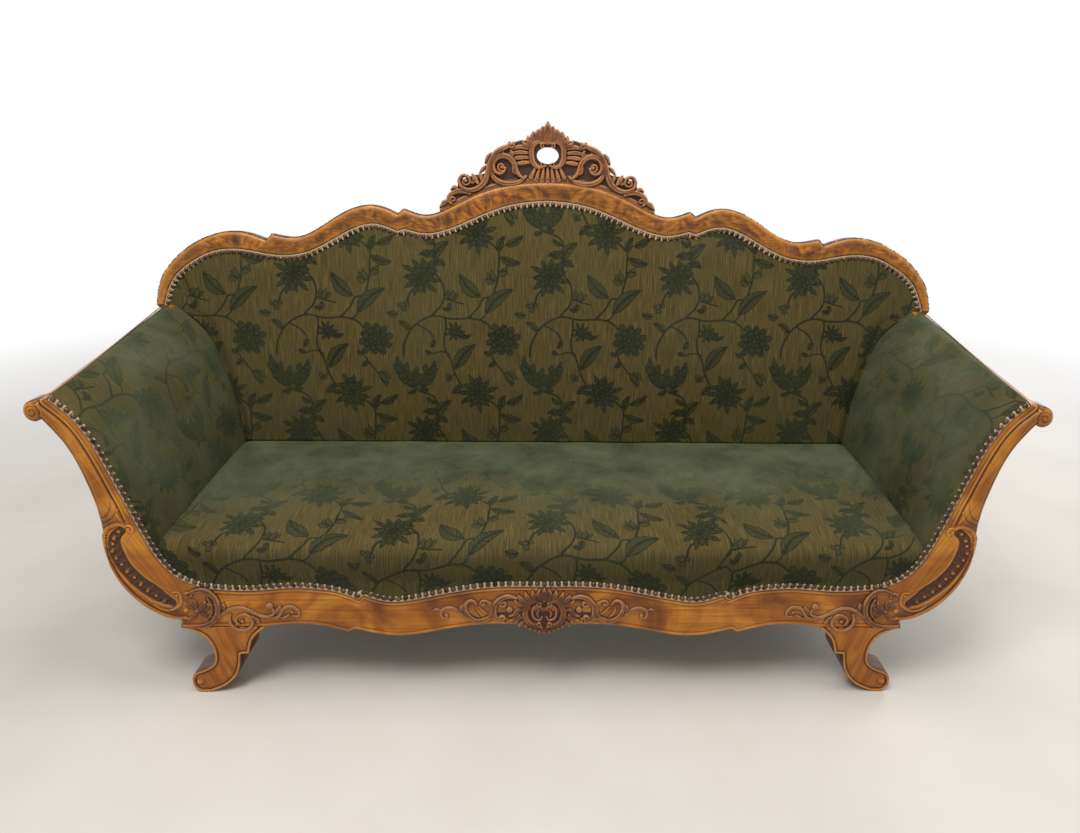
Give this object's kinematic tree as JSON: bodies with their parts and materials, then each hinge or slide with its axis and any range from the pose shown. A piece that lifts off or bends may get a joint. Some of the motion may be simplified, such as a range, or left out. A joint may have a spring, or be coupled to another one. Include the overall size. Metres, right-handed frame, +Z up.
{
  "type": "scroll-arm sofa",
  "caption": "Show-wood sofa with out-scrolled arms, carved pierced crest, serpentine apron and fixed sprung upholstery with nailed braid.",
  "frame": {"origin": "on the floor, under the middle of the sofa's outline", "axes": "+X along the sofa to the viewer's right, -Y out of the front, +Z up"},
  "size_m": [2.118, 0.7051, 1.2566],
  "materials": {
    "golden_walnut": "satin shellac polish",
    "burr_walnut": "satin shellac polish",
    "carved_walnut": "dark waxed",
    "stained_beech": "stained",
    "frame_beech": "raw",
    "dowel_beech": "raw",
    "steel_wire": "drawn wire",
    "screw_steel": "plain",
    "jacquard": "napped jacquard with a floral vine",
    "horsehair": "loose fibre pad",
    "jute_webbing": "woven",
    "hessian": "open weave",
    "lining_cloth": "plain weave",
    "gimp_braid": "scalloped braid",
    "antique_brass": "antiqued"
  },
  "bodies": {
    "root": {"apron_cartouche": "carved_walnut", "back_braid": "gimp_braid", "back_cover": "jacquard", "back_frame_dowels": "dowel_beech", "back_nails": "antique_brass", "back_stuffing": "horsehair", "back_uprights": "frame_beech", "back_webbing": "jute_webbing", "carving_dowels": "dowel_beech", "corner_block_screws": "screw_steel", "corner_blocks": "frame_beech", "crest_carving": "carved_walnut", "crest_rail": "burr_walnut", "dust_cover": "lining_cloth", "front_braid": "gimp_braid", "front_nails": "antique_brass", "front_rail": "golden_walnut", "left_arm_braid": "gimp_braid", "left_arm_cover": "jacquard", "left_arm_facing": "golden_walnut", "left_arm_lower_rail": "frame_beech", "left_arm_nails": "antique_brass", "left_arm_stuffing": "horsehair", "left_arm_top_rail": "golden_walnut", "left_arm_webbing": "jute_webbing", "left_belly_carving": "carved_walnut", "left_corner_carving": "carved_walnut", "left_front_foot": "golden_walnut", "left_outside_arm_cover": "lining_cloth", "left_rear_post": "stained_beech", "left_side_seat_rail": "frame_beech", "lower_back_rail": "frame_beech", "outside_back_cover": "lining_cloth", "rear_seat_rail": "frame_beech", "right_arm_braid": "gimp_braid", "right_arm_cover": "jacquard", "right_arm_facing": "golden_walnut", "right_arm_lower_rail": "frame_beech", "right_arm_nails": "antique_brass", "right_arm_stuffing": "horsehair", "right_arm_top_rail": "golden_walnut", "right_arm_webbing": "jute_webbing", "right_belly_carving": "carved_walnut", "right_corner_carving": "carved_walnut", "right_front_foot": "golden_walnut", "right_outside_arm_cover": "lining_cloth", "right_rear_post": "stained_beech", "right_side_seat_rail": "frame_beech", "seat_cover": "jacquard", "seat_cross_rails": "frame_beech", "seat_frame_dowels": "dowel_beech", "seat_ledger": "frame_beech", "seat_springs": "steel_wire", "seat_stuffing": "horsehair", "seat_webbing": "jute_webbing", "spring_hessian": "hessian"}
  },
  "joints": []
}
